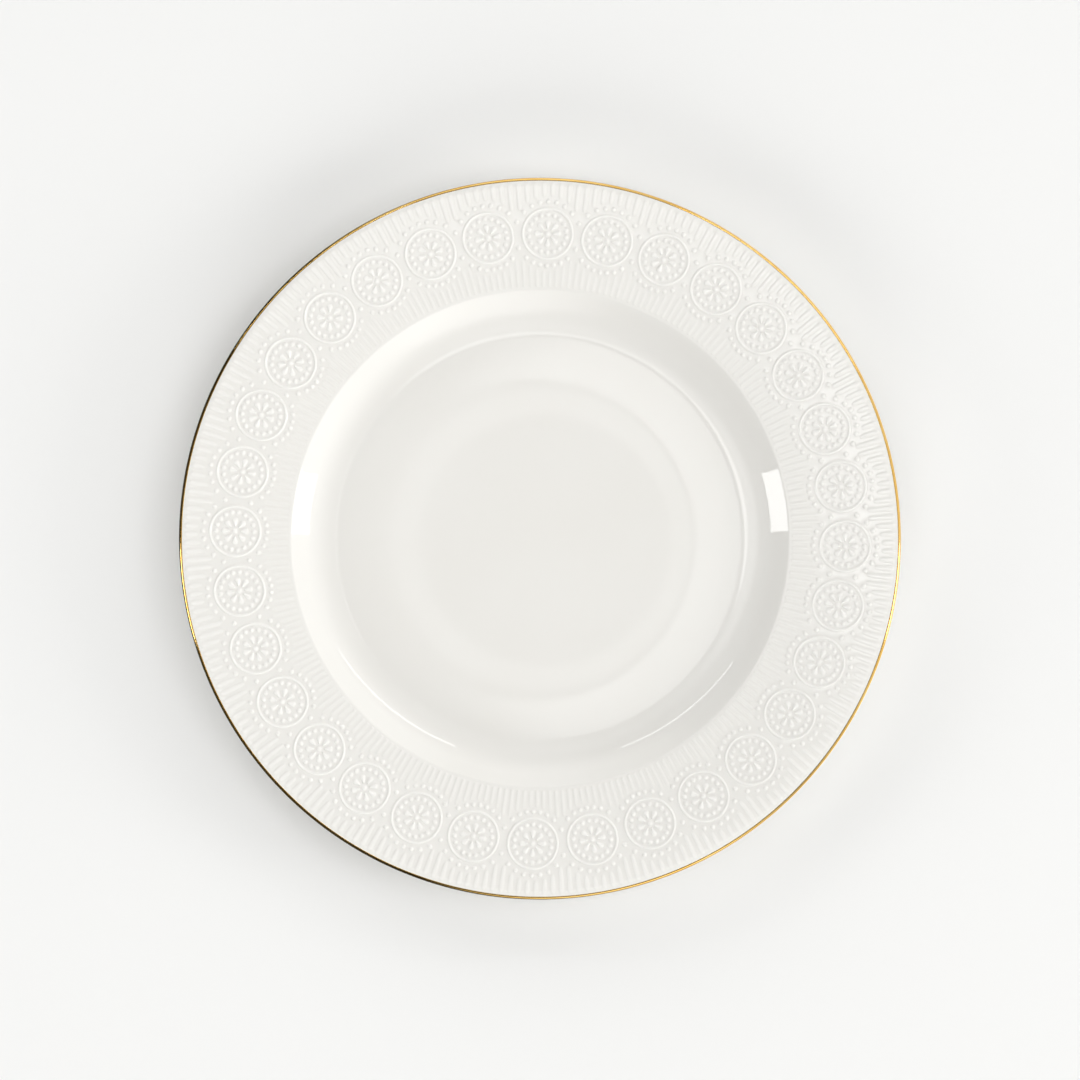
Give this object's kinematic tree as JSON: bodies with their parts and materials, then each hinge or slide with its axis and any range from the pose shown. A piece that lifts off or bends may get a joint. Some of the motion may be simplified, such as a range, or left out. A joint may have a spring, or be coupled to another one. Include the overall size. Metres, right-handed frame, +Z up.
{
  "type": "dinner plate",
  "caption": "Round china dinner plate with a flat well, a broad rim carrying a low-relief fluted and beaded border, a foot ring and a gilded lip.",
  "frame": {"origin": "centre of the plane that the foot ring stands on", "axes": "+Z up out of the well along the plate's axis; the plate is round, and its relief border has one rosette 1.4 degrees clockwise of +Y"},
  "size_m": [0.27, 0.27, 0.0214],
  "materials": {
    "glazed_china": "glossy clear glaze over a warm white body",
    "fired_gold": "burnished fired gold"
  },
  "bodies": {
    "root": {"china_body": "glazed_china", "gold_rim_band": "fired_gold"}
  },
  "joints": []
}
